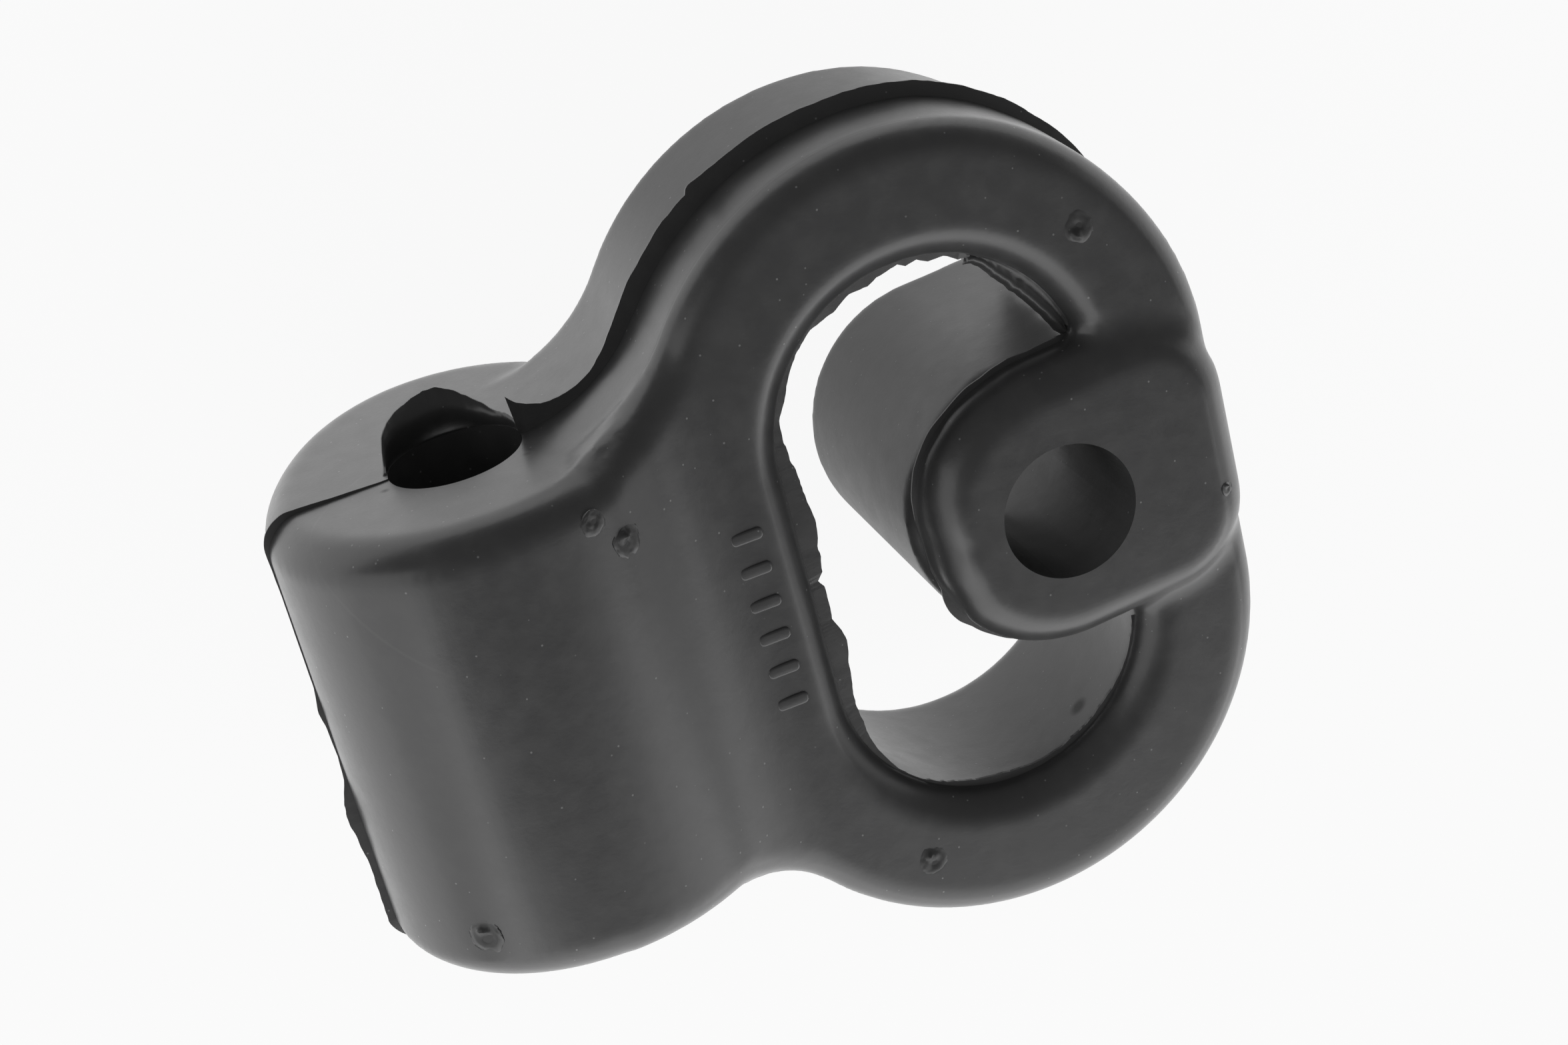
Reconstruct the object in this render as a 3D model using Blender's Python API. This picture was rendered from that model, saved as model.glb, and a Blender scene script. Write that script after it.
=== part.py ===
"""Moulded rubber exhaust buffer.

One piece of rubber: an oval block with a bore along Y, a flat ring with an obround opening, and a
boss with a bore along Z that crosses the opening from the ring's far side. A thin fin of flash stands
on the mould's parting plane, round the top of the ring and along the end of the block.

Metres, +Z up. The buffer lies on the back of its block, at z = 0, with the front of the ring up.
X runs from the block to the ring, and the origin is under the middle of the bounding box.
"""
import math

import bmesh
import bpy
from mathutils import Matrix

MM = 0.001

# Oval block, with its bore along Y
BLOCK_HALF_WIDTH = 15.5 * MM
BLOCK_FRONT_DEPTH = 14.9 * MM
BLOCK_REAR_DEPTH = 21.6 * MM
BLOCK_ABOVE_AXIS = 16.6 * MM
BLOCK_BELOW_AXIS = 19.4 * MM
BLOCK_EDGE = 2.4 * MM
BLOCK_BORE_RADIUS = 5.0 * MM

# Flat ring, of two half circles and the straight sides between them
RING_RADIUS = 22.0 * MM
RING_STRAIGHT = 20.0 * MM
RING_FRONT_DEPTH = 8.8 * MM
RING_REAR_DEPTH = 14.2 * MM
RING_EDGE = 2.0 * MM
RING_FRONT_TAPER = 0.03
BLOCK_TO_RING = 33.4 * MM
SWEEP_RADIUS = 13.8 * MM

# Opening through the ring, of the same form
OPENING_RADIUS = 12.1 * MM
OPENING_STRAIGHT = 19.0 * MM
OPENING_RISE = 0.2 * MM
OPENING_WAIST_DEPTH = 6.4 * MM
OPENING_FRONT_TAPER = 0.10
OPENING_REAR_TAPER = 0.09

# Boss across the opening, with its bore along Z
BOSS_AXIS_X = 7.4 * MM
BOSS_AXIS_Y = 0.3 * MM
BOSS_RADIUS = 11.1 * MM
BOSS_FRONT_DEPTH = 10.4 * MM
BOSS_REAR_DEPTH = 18.4 * MM
BOSS_LEAN = math.radians(4.3)
BOSS_END_STEP = 0.1 * MM
BOSS_CORNER = 7.0 * MM
BOSS_FRONT_EDGE = 2.6 * MM
BOSS_REAR_EDGE = 1.7 * MM
BOSS_BORE_RADIUS = 5.25 * MM

# Flash on the parting plane
FIN_HEIGHT = 1.4 * MM
FIN_THICKNESS = 0.5 * MM
FIN_ROOT = 0.8 * MM
FIN_END_ANGLE = math.radians(30)
FIN_FADE_ANGLE = math.radians(70)
END_FLASH_HEIGHT = 0.5 * MM
END_FLASH_LENGTH = 21.0 * MM

# How finely round shapes are divided
EDGE_STEPS = 3
RING_STEPS = 32
SWEEP_STEPS = 10
OPENING_STEPS = 26
CORNER_STEPS = 6
BLOCK_STEPS = 52
BOSS_STEPS = 24
BORE_STEPS = 36

# How far the plate's outline and its sweeps lie inside the block's ends, how far cutters run past
# what they cut, and the radius that a corner keeps where its inset would leave none
SUNK = 1.0 * MM
GRAZE = 0.02 * MM
OVERRUN = 2.0 * MM
SHARPEST_CORNER = 0.2 * MM

# Places that follow from the sizes
PART_Z = BLOCK_REAR_DEPTH
END_X = BLOCK_TO_RING + BLOCK_HALF_WIDTH + END_FLASH_HEIGHT
RING_X = (END_X - RING_RADIUS) / 2
RING_Y = -FIN_HEIGHT / 2
BLOCK_X = RING_X - BLOCK_TO_RING
BOSS_X = RING_X + BOSS_AXIS_X
BOSS_Y = RING_Y + BOSS_AXIS_Y
BLOCK_TOP = RING_Y + BLOCK_ABOVE_AXIS
BLOCK_BOTTOM = RING_Y - BLOCK_BELOW_AXIS
RING_TOP_Y = RING_Y + RING_STRAIGHT / 2
RING_BOTTOM_Y = RING_Y - RING_STRAIGHT / 2
OPENING_Y = RING_Y + OPENING_RISE


def arc(centre, radius, start, end, steps):
    """Points on an arc, both ends included."""
    points = []
    for i in range(steps + 1):
        angle = start + (end - start) * i / steps
        points.append((centre[0] + radius * math.cos(angle), centre[1] + radius * math.sin(angle)))
    return points


def sweep(face, side, ring_y):
    """The concave sweep from a face of the block into a round end of the ring.

    Side is 1 at the top of the block and -1 at its bottom. It gives the sweep's centre and the angle
    from the round end's centre at which they meet.
    """
    centre_y = face + side * SWEEP_RADIUS
    rise = centre_y - ring_y
    centre_x = RING_X - math.sqrt((RING_RADIUS + SWEEP_RADIUS) ** 2 - rise ** 2)
    return (centre_x, centre_y), math.atan2(rise, centre_x - RING_X)


TOP_SWEEP, TOP_MEET = sweep(BLOCK_TOP - GRAZE, 1, RING_TOP_Y)
BOTTOM_SWEEP, BOTTOM_MEET = sweep(BLOCK_BOTTOM + GRAZE, -1, RING_BOTTOM_Y)


def top_sweep(inset):
    """The upper sweep, from the block to the ring."""
    return arc(TOP_SWEEP, SWEEP_RADIUS + inset, -math.pi / 2, TOP_MEET - math.pi, SWEEP_STEPS)


def bottom_sweep(inset):
    """The lower sweep, from the block to the ring."""
    return arc(BOTTOM_SWEEP, SWEEP_RADIUS + inset, math.pi / 2, BOTTOM_MEET + math.pi, SWEEP_STEPS)


def plate_outline(inset):
    """The ring's outer outline with its sweeps, which ends inside the block."""
    radius = RING_RADIUS - inset
    points = [(BLOCK_X, BLOCK_BOTTOM + SUNK + inset)]
    points += bottom_sweep(inset)
    points += arc((RING_X, RING_BOTTOM_Y), radius, BOTTOM_MEET, 0.0, RING_STEPS)[1:]
    points += arc((RING_X, RING_TOP_Y), radius, 0.0, TOP_MEET, RING_STEPS)
    points += reversed(top_sweep(inset)[:-1])
    points.append((BLOCK_X, BLOCK_TOP - SUNK - inset))
    return points


def opening_outline(widened):
    """The opening: two half circles and the straight sides between them."""
    radius = OPENING_RADIUS + widened
    top = (RING_X, OPENING_Y + OPENING_STRAIGHT / 2)
    bottom = (RING_X, OPENING_Y - OPENING_STRAIGHT / 2)
    return (arc(top, radius, 0.0, math.pi, OPENING_STEPS)
            + arc(bottom, radius, math.pi, 2 * math.pi, OPENING_STEPS))


def boss_outline(inset):
    """The boss: a half circle towards the block, flat sides that lean, and an end with round corners."""
    radius = BOSS_RADIUS - inset
    end_x = RING_X + RING_RADIUS - BOSS_END_STEP
    corner = max(BOSS_CORNER - inset, SHARPEST_CORNER)
    corner_x = end_x - inset - corner
    across = radius - corner
    slope = math.tan(BOSS_LEAN)
    middle_y = BOSS_Y + (corner_x - BOSS_X) * slope
    reach = across / math.cos(BOSS_LEAN)
    points = arc((BOSS_X, BOSS_Y), radius, math.pi / 2 + BOSS_LEAN, 3 * math.pi / 2 + BOSS_LEAN, BOSS_STEPS)
    points += arc((corner_x, middle_y - reach), corner, BOSS_LEAN - math.pi / 2, 0.0, CORNER_STEPS)
    points += arc((corner_x, middle_y + reach), corner, 0.0, BOSS_LEAN + math.pi / 2, CORNER_STEPS)
    return points


def block_outline(inset):
    """The block's oval across Y, as x and z: deeper behind the parting plane than in front."""
    points = []
    for i in range(BLOCK_STEPS):
        angle = 2 * math.pi * i / BLOCK_STEPS
        depth = BLOCK_FRONT_DEPTH if math.sin(angle) > 0 else BLOCK_REAR_DEPTH
        x = BLOCK_X + (BLOCK_HALF_WIDTH - inset) * math.cos(angle)
        points.append((x, PART_Z + (depth - inset) * math.sin(angle)))
    return points


def rounded_levels(low, high, waist, low_edge, high_edge, low_taper, high_taper):
    """Heights from low to high with the inset at each: round edges, and sides that taper from a waist."""
    levels = []
    for side, end, edge, taper in ((-1, low, low_edge, low_taper), (1, high, high_edge, high_taper)):
        for i in range(EDGE_STEPS + 1):
            turn = math.pi / 2 * i / EDGE_STEPS
            level = end - side * edge * (1 - math.cos(turn))
            levels.append((level, edge * (1 - math.sin(turn)) + taper * abs(level - waist)))
    levels.append((waist, 0.0))
    return sorted(levels)


def finished(bm, name):
    """A new object from a bmesh."""
    mesh = bpy.data.meshes.new(name)
    bm.to_mesh(mesh)
    bm.free()
    return bpy.data.objects.new(name, mesh)


def loft(name, sections):
    """A closed solid through sections that all have the same number of points."""
    bm = bmesh.new()
    loops = []
    for section in sections:
        verts = [bm.verts.new(point) for point in section]
        loops.append([bm.edges.new(pair) for pair in zip(verts, verts[1:] + verts[:1])])
    for lower, upper in zip(loops, loops[1:]):
        bmesh.ops.bridge_loops(bm, edges=lower + upper)
    for end in (loops[0], loops[-1]):
        bmesh.ops.contextual_create(bm, geom=end)
    bmesh.ops.recalc_face_normals(bm, faces=bm.faces)
    return finished(bm, name)


def plan_loft(name, outline, levels):
    """A solid whose plan outline follows the inset of each level."""
    sections = []
    for z, inset in levels:
        sections.append([(x, y, z) for x, y in outline(inset)])
    return loft(name, sections)


def make_plate():
    levels = rounded_levels(PART_Z - RING_REAR_DEPTH, PART_Z + RING_FRONT_DEPTH, PART_Z,
                            RING_EDGE, RING_EDGE, 0.0, RING_FRONT_TAPER)
    return plan_loft("plate", plate_outline, levels)


def make_opening():
    """The opening's cutter, wider at both faces by the round edges and the tapers."""
    low, high = PART_Z - RING_REAR_DEPTH, PART_Z + RING_FRONT_DEPTH
    levels = rounded_levels(low, high, PART_Z + OPENING_WAIST_DEPTH, RING_EDGE, RING_EDGE,
                            OPENING_REAR_TAPER, OPENING_FRONT_TAPER)
    levels.insert(0, (low - OVERRUN, levels[0][1]))
    levels.append((high + OVERRUN, levels[-1][1]))
    return plan_loft("opening_cutter", opening_outline, levels)


def make_boss():
    levels = rounded_levels(PART_Z - BOSS_REAR_DEPTH, PART_Z + BOSS_FRONT_DEPTH, PART_Z,
                            BOSS_REAR_EDGE, BOSS_FRONT_EDGE, 0.0, 0.0)
    return plan_loft("boss", boss_outline, levels)


def make_block():
    middle = (BLOCK_TOP + BLOCK_BOTTOM) / 2
    sections = []
    for y, inset in rounded_levels(BLOCK_BOTTOM, BLOCK_TOP, middle, BLOCK_EDGE, BLOCK_EDGE, 0.0, 0.0):
        sections.append([(x, y, z) for x, z in block_outline(inset)])
    return loft("block", sections)


def make_fin():
    """The fin round the top of the ring, which fades out towards the ring's far side."""
    tops, roots = [], []
    for i in range(RING_STEPS):
        angle = FIN_END_ANGLE + (TOP_MEET - FIN_END_ANGLE) * i / RING_STEPS
        rise = min((angle - FIN_END_ANGLE) / FIN_FADE_ANGLE, 1.0)
        height = FIN_HEIGHT * math.sin(rise * math.pi / 2)
        for line, radius in ((tops, RING_RADIUS + height), (roots, RING_RADIUS - FIN_ROOT)):
            line.append((RING_X + radius * math.cos(angle), RING_TOP_Y + radius * math.sin(angle)))
    tops += reversed(top_sweep(-FIN_HEIGHT))
    roots += reversed(top_sweep(FIN_ROOT))
    tops.append((BLOCK_X, BLOCK_TOP + FIN_HEIGHT))
    roots.append((BLOCK_X, BLOCK_TOP - FIN_ROOT))
    outline = tops + roots[::-1]
    sections = []
    for z in (PART_Z - FIN_THICKNESS / 2, PART_Z + FIN_THICKNESS / 2):
        sections.append([(x, y, z) for x, y in outline])
    return loft("fin", sections)


def make_end_flash():
    """The low line of flash on the lower part of the block's round side."""
    width = END_FLASH_HEIGHT + FIN_ROOT
    end_x = BLOCK_X - BLOCK_HALF_WIDTH - END_FLASH_HEIGHT
    bm = bmesh.new()
    bmesh.ops.create_cube(bm, size=1, matrix=Matrix.Diagonal((width, END_FLASH_LENGTH, FIN_THICKNESS, 1)))
    flash = finished(bm, "end_flash")
    flash.location = (end_x + width / 2, BLOCK_BOTTOM + BLOCK_EDGE + END_FLASH_LENGTH / 2, PART_Z)
    return flash


def make_bore(name, radius, centre, length):
    """A cylinder along Z that cuts a bore."""
    bm = bmesh.new()
    bmesh.ops.create_cone(bm, cap_ends=True, segments=BORE_STEPS, radius1=radius, radius2=radius,
                          depth=length)
    bore = finished(bm, name)
    bore.location = centre
    return bore


def rubber():
    """Matte dark grey moulded rubber."""
    material = bpy.data.materials.new("black_rubber")
    material.use_nodes = True
    shader = material.node_tree.nodes["Principled BSDF"]
    shader.inputs["Base Color"].default_value = (0.045, 0.045, 0.047, 1)
    shader.inputs["Roughness"].default_value = 0.62
    shader.inputs["Metallic"].default_value = 0.0
    return material


def combine(target, other, operation):
    """Adds an exact Boolean of one object on another."""
    step = target.modifiers.new(other.name, "BOOLEAN")
    step.operation = operation
    step.solver = "EXACT"
    step.object = other
    other.hide_render = True
    other.display_type = "WIRE"


def main():
    for old in list(bpy.data.objects):
        bpy.data.objects.remove(old, do_unlink=True)
    parts = bpy.data.collections.new("muffler_rubber_buffer")
    cutters = bpy.data.collections.new("cutters")
    for collection in (parts, cutters):
        bpy.context.scene.collection.children.link(collection)

    body = make_block()
    body.name = "rubber_buffer"
    body.data.materials.append(rubber())
    parts.objects.link(body)

    plate, opening, boss = make_plate(), make_opening(), make_boss()
    block_bore = make_bore("block_bore", BLOCK_BORE_RADIUS,
                           (BLOCK_X, (BLOCK_TOP + BLOCK_BOTTOM) / 2, PART_Z),
                           BLOCK_TOP - BLOCK_BOTTOM + 2 * (FIN_HEIGHT + OVERRUN))
    block_bore.rotation_euler.x = math.pi / 2
    boss_bore = make_bore("boss_bore", BOSS_BORE_RADIUS,
                          (BOSS_X, BOSS_Y, PART_Z + (BOSS_FRONT_DEPTH - BOSS_REAR_DEPTH) / 2),
                          BOSS_FRONT_DEPTH + BOSS_REAR_DEPTH + 2 * OVERRUN)
    steps = ((plate, "UNION"), (opening, "DIFFERENCE"), (boss, "UNION"), (make_fin(), "UNION"),
             (make_end_flash(), "UNION"), (block_bore, "DIFFERENCE"), (boss_bore, "DIFFERENCE"))
    for other, operation in steps:
        cutters.objects.link(other)
        combine(body, other, operation)


main()
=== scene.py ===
"""Looks of a moulded rubber exhaust buffer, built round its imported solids.

The body is a finer copy of the solids with soft moulded blends. The flash left by the mould, the
gate marks and the plain ribs are pieces of their own. Shapes are worked out in millimetres in the
row frame, and finished() turns them to metres. Tables of angles are in degrees.
"""
import math

import bmesh
import bpy
from mathutils import Matrix, Vector, noise


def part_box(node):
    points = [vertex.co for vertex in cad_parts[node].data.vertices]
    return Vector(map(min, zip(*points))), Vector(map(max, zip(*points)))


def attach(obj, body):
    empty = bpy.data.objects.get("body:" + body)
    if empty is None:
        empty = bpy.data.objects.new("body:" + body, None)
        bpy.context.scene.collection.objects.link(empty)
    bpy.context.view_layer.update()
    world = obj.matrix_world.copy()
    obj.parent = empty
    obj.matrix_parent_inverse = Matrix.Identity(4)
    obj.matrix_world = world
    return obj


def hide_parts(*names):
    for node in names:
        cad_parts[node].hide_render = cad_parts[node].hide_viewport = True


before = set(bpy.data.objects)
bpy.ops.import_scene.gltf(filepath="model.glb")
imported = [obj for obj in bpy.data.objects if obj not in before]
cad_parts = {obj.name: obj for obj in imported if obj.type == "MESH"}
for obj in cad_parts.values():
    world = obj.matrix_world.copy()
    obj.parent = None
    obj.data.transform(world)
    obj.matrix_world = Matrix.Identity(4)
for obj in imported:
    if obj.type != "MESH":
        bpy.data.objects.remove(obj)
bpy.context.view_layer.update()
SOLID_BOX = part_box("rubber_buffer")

bl_info = {
    "name": "Rubber exhaust buffer",
    "version": (1, 0, 0),
    "blender": (4, 5, 0),
    "location": "3D View > Sidebar > Buffer",
    "description": "Builds the moulded rubber buffer, its flash and its studio",
    "category": "Object",
}

MM = 0.001
ROOT = "root"
NODE = "rubber_buffer"

# The outer and the inner parting plane, and the main places, in millimetres
PART_Z, WAIST_Z = 21.6, 28.0
BLOCK_X = -19.7
BLOCK_TOP, BLOCK_BOTTOM = 15.9, -20.1
BLOCK_MIDDLE = (BLOCK_TOP + BLOCK_BOTTOM) / 2
BLOCK_FRONT, BLOCK_REAR = 14.9, 21.6
BLOCK_HALF_WIDTH = 15.5
BLOCK_NARROWER, BLOCK_TAPER = 0.35, 0.45  # of the half away from the ring, at all and upwards
RING_X, RING_Y = 13.7, -0.7
RING_RADIUS = 21.98
RING_HALF_STRAIGHT = 10.0
RING_FRONT_Z, RING_REAR_Z = 30.4, 7.4
SHOULDER = 0.5  # how far the ring's upper right lies inside the half circle
SHOULDER_TURNS = (-10, 80)
WAIST = 0.4  # how far the wall draws in beside the fin, at the upper left
WAIST_TURNS = (76, 148)
WAIST_BEHIND, WAIST_DEPTH = 0.3, 5.2
SWEEP_RADIUS = 13.8
SWEEP_SINK = 0.02  # how far the sweeps lie inside the block's ends
PLATE_TUCK = 1.0  # how far the plate's corners lie inside the block
OPENING_RADIUS = 12.1
OPENING_TOP = (13.7, 9.0)
OPENING_BOTTOM = (13.7, -10.0)
BOSS = (21.1, -0.4)
BOSS_RADIUS = 11.1
BOSS_LEAN = math.radians(4.3)
BOSS_END_X = 35.6
BOSS_CORNER = 7.0
BOSS_FRONT_Z, BOSS_REAR_Z = 32.0, 3.2
BOSS_CHANGE = 0.4  # the height in which the boss takes its front shape

# Soft edges, tapers per millimetre of height, and the hood that carries the block into the ring
EDGE_FLATNESS = 1.35  # 1 rounds the moulded edges as circles, 2 cuts flat chamfers
EDGE_STEPS = 10
BLOCK_EDGE, PLATE_EDGE = 2.4, 2.0
BOSS_REAR_EDGE, BOSS_FRONT_EDGE = 1.7, 2.6
PLATE_TAPER = 0.03
OPENING_REAR_TAPER, OPENING_FRONT_TAPER = 0.09, 0.10
HOOD_START = 9.8  # where the block's front starts to run out, from its middle
HOOD_EDGE = 2.2
HOOD_SINK = 0.02  # how far the hood's wall lies inside the plate's wall
HOOD_UNDER = 0.03  # how far the hood's front lies under the ring's face
HOOD_FOOT_Z = WAIST_Z - 0.6
CUT_MARGIN = 2.0  # how far the opening's cutter stands out of the plate
BLOCK_BORE_CUT, BOSS_BORE_CUT = 44.0, 36.0

# How finely the outlines are divided
BLOCK_STEPS, PROFILE_STEPS, BORE_STEPS = 120, 24, 96
SWEEP_STEPS, RING_STEPS = 24, 72
BOSS_STEPS, CORNER_STEPS = 64, 20

# Smoothing of the skin: passes all over, hollows deeper than this, and rings of points round them
SKIN_PASSES = 2
HOLLOW_DEPTH = 0.012
HOLLOW_RINGS = 4
SHARP_ANGLE = 42

# The boss in front of the inner parting plane: angle round its axis and radius there
BOSS_FRONT_RADII = ((94.3, 11.1), (105, 10.85), (121, 10.9), (144, 10.95), (158, 10.7),
                    (181, 9.95), (205, 10.4), (219, 11.1), (240, 11.25), (274.3, 11.1))

# The torn inner edge of the web of flash in the opening, from its top round to the bottom
WEB_EDGE = ((19.25, 19.6), (18.25, 19.75), (17.3, 20.35), (16.15, 20.3), (15.15, 20.8),
            (14.4, 20.5), (13.8, 20.85), (13.2, 20.8), (11.35, 20.1), (9.8, 19.9), (8.45, 19.1),
            (6.5, 18.4), (5.55, 17.6), (3.9, 15.4), (3.4, 14.2), (2.5, 12.5), (2.75, 8.6),
            (3.2, 4.05), (2.9, 2.0), (2.7, 0.15), (2.25, -0.4), (2.6, -0.9), (2.5, -3.65),
            (3.0, -4.9), (3.15, -5.9), (2.85, -7.7), (2.6, -10.2), (2.75, -12.9), (3.45, -15.8),
            (5.2, -18.6), (7.5, -20.2), (9.45, -20.95), (12.2, -21.45), (15.0, -21.7),
            (18.0, -21.0), (21.4, -19.0), (24.2, -15.9), (25.5, -12.2))

# The lip that the web turns up into at the opening's upper right: angle and how far it stands in
LIP_REACH = ((10, 0.5), (14, 1.0), (20, 1.2), (28, 1.42), (40, 1.5), (50, 1.25), (57, 0.85),
             (60, 0.75), (62.5, 1.0), (64, 0.2))

# The outer fin along the sweep beside the block and then round the ring: angle and height
SWEEP_FIN = ((-86.2, 3.05), (-84.6, 2.6), (-83, 2.3), (-80, 1.85), (-76, 1.35), (-70, 0.95),
             (-63, 0.7), (-57, 0.68), (-48, 0.95), (-39, 1.2), (-34, 1.2))
RING_FIN = ((28, 0.0), (31, 0.15), (40, 0.62), (48, 0.76), (56, 0.95), (65, 1.0), (72, 1.08),
            (81, 1.06), (90, 0.98), (97, 0.95), (103, 1.05), (110, 1.0), (117, 1.12),
            (120.8, 1.38), (121.6, 1.0), (128, 1.08), (134, 1.1), (140, 1.17), (146, 1.2))

# Standing flash at the mouth of the block's bore: angle and height
COLLAR_HEIGHTS = ((192, 0.0), (200, 0.5), (207, 1.4), (214, 2.2), (225, 2.7), (237, 3.1),
                  (248, 3.3), (258, 3.5), (268, 3.7), (278, 3.6), (287, 3.2), (296, 2.65),
                  (305, 2.1), (314, 1.5), (322, 1.1), (335, 0.9), (345, 0.6), (353, 0.3),
                  (359, 0.0))

# How the torn edges wander: amount, size and seed, by millimetres or by degrees round a bore
TEARS = {
    "outer_fin": ((0.07, 1.3, 3.0), (0.04, 0.5, 9.0)),
    "end_flash": ((0.10, 0.7, 5.0),),
    "opening_web": ((0.10, 0.9, 1.0), (0.05, 0.35, 2.0)),
    "torn_lip": ((0.06, 3.0, 8.0),),
    "boss_flash": ((0.10, 1.6, 4.0),),
    "bore_flash": ((0.10, 7.0, 6.0), (0.05, 2.5, 7.0)),
}

# Strips of flash: how deep their roots lie, their thickness, and how they thin at tips and ends
FIN_ROOT, END_FLASH_ROOT, WEB_ROOT, BOSS_FLASH_ROOT = 0.9, 0.5, 0.8, 1.4
END_FLASH_THICKNESS, BOSS_FLASH_THICKNESS = 0.32, 0.36
STRIP_TIP, STRIP_END, STRIP_END_STEPS = 0.45, 0.12, 3

# Steps along the flash, round the bore's collar and along the lip
FIN_SWEEP_STEPS, FIN_RING_STEPS, BOSS_FLASH_STEPS = 50, 150, 180
COLLAR_STEPS, LIP_STEPS = 95, 108
LINE_STEP, WEB_STEP, WEB_WALL_STEPS = 0.25, 0.3, 200

# The low flash on the block and round the boss, which stands further out beside the opening
END_FLASH_FOOT = math.pi * 1.35
END_FLASH_LEAST, END_FLASH_ROOM, WEB_LEAST = 0.04, 0.02, 0.08
BOSS_FLASH_START, BOSS_FLASH_TURN = 5.0, 186
BOSS_FLASH_HEIGHT, BOSS_FLASH_DROP = 0.42, 0.05
BOSS_TONGUE_Y, BOSS_TONGUE_X, BOSS_TONGUE_HEIGHT = (-8.2, -4.6), 14, 0.30

# Gate marks: place near the skin in millimetres, radius, turn, and how far the torn stub stands
GATE_MARKS = (
    ((-11.4, 10.6, 34.2), 1.3, 0.4, 0.40),
    ((-13.4, 13.1, 35.2), 1.0, 2.1, 0.10),
    ((-29.4, -15.3, 33.2), 1.4, 3.6, 0.35),
    ((4.7, -25.1, 30.4), 1.3, 5.0, 0.30),
    ((26.9, 19.8, 30.4), 1.3, 1.2, 0.35),
    ((33.4, -3.3, 31.4), 0.6, 0.2, 0.30),
)

# The low line of flash over the block's end: share of its length and how far it stands out
END_LINE = ((0.0, 0.10), (0.06, 0.16), (0.12, 0.25), (0.17, 0.35), (0.21, 0.32), (0.26, 0.18),
            (0.32, 0.12), (0.49, 0.12), (0.535, 0.42), (0.56, 0.22), (0.62, 0.12),
            (0.665, 0.25), (0.71, 0.85), (0.735, 0.95), (0.77, 0.80), (0.83, 0.50),
            (0.90, 0.55), (0.945, 0.58), (0.965, 0.35), (1.0, 0.03))

# The plain ribs beside the opening
RIB_COUNT, RIB_PITCH, RIB_X, RIB_TOP_Y = 6, 2.75, -2.5, 6.0
RIB_LENGTH, RIB_WIDTH, RIB_SUNK, RIB_CORNER = 2.5, 0.95, 0.15, 0.4
BEVEL_STEPS = 5

# Marks in the rubber: dark spots with their radii, a scratch, and a faint line on the outer wall
WALL_SPOT = (20.6, -20.3, 24.9)
DARK_SPOTS = (((-25.3, 15.9, 23.4), 0.22), ((-15.1, 15.9, 25.9), 0.28))
# The radius of the painted shade round the block bore's axis
BORE_SHADE_RADIUS = 5.5
SCRATCH_CENTRE, SCRATCH_RADIUS, SCRATCH_X = (-14.0, 21.0, 33.0), 19.2, (-31.5, -26.0)
WALL_LINE_Z, WALL_LINE_RADIUS, WALL_LINE_Y = 28.3, 21.6, 14.0

# Round shades in what the rubber mirrors of the floor: centre, radius and softness
FLOOR_SHADES = (((RING_X, RING_Y, 0.0), 24.0, 16.0), ((9.0, 42.0, 0.0), 23.0, 14.0))
FLOOR_SIZE, FLOOR_DROP = 3000.0, 0.05

# Lamps, in metres and watts: place, size and power. All look at one point over the floor.
LAMPS = {
    "front": ((0.05, -1.15, 0.56), (3.4, 1.4), 17.0),
    "left": ((-0.90, -0.05, 0.40), (1.2, 0.76), 2.0),
    "right": ((0.91, -0.40, 0.20), (1.6, 0.36), 0.8),
}
LAMP_TARGET = (0, 0, 0.015)
WORLD_LEVEL = 0.12

# The camera that took the photo, in metres, and its lens and sensor in millimetres
CAMERA_PLACE = (-0.035118020, 0.082641683, 0.199298130)
CAMERA_FORWARD = (0.188249530, -0.405603737, -0.894453869)
CAMERA_UP = (0.339675142, 0.881420753, -0.328204590)
CAMERA_LENS, CAMERA_SENSOR = 60.476, 36.0


def on_circle(centre, radius, angle):
    """The point of a circle at an angle in radians."""
    return centre[0] + radius * math.cos(angle), centre[1] + radius * math.sin(angle)


def arc(centre, radius, start, end, steps):
    """Points on an arc, both ends included."""
    return [on_circle(centre, radius, start + (end - start) * i / steps)
            for i in range(steps + 1)]


def read_off(table, value):
    """The second column of a table at a value of the first, by straight lines."""
    for (a, low), (b, high) in zip(table, table[1:]):
        if value <= b:
            return low + (high - low) * max(0.0, (value - a) / (b - a))
    return table[-1][1]


def tear(piece, x, y=0.0):
    """How far the torn edge of a piece wanders at a place along it, if its raggedness is 1."""
    return sum(amount * noise.noise(Vector((x / size, y / size, seed)))
               for amount, size, seed in TEARS[piece])


def new_object(name, data):
    """An object in the scene's own collection."""
    thing = bpy.data.objects.new(name, data)
    bpy.context.scene.collection.objects.link(thing)
    return thing


def finished(bm, name, smooth=True):
    """An object from a bmesh that was drawn in millimetres. A closed one is wound outwards."""
    bmesh.ops.remove_doubles(bm, verts=bm.verts, dist=1e-5)
    bmesh.ops.recalc_face_normals(bm, faces=bm.faces)
    closed = not any(edge.is_boundary for edge in bm.edges)
    if closed and bm.calc_volume(signed=True) < 0:
        bmesh.ops.reverse_faces(bm, faces=bm.faces)
    bmesh.ops.scale(bm, vec=(MM, MM, MM), verts=bm.verts)
    for face in bm.faces:
        face.smooth = smooth
    mesh = bpy.data.meshes.new(name)
    bm.to_mesh(mesh)
    bm.free()
    return new_object(name, mesh)


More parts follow.
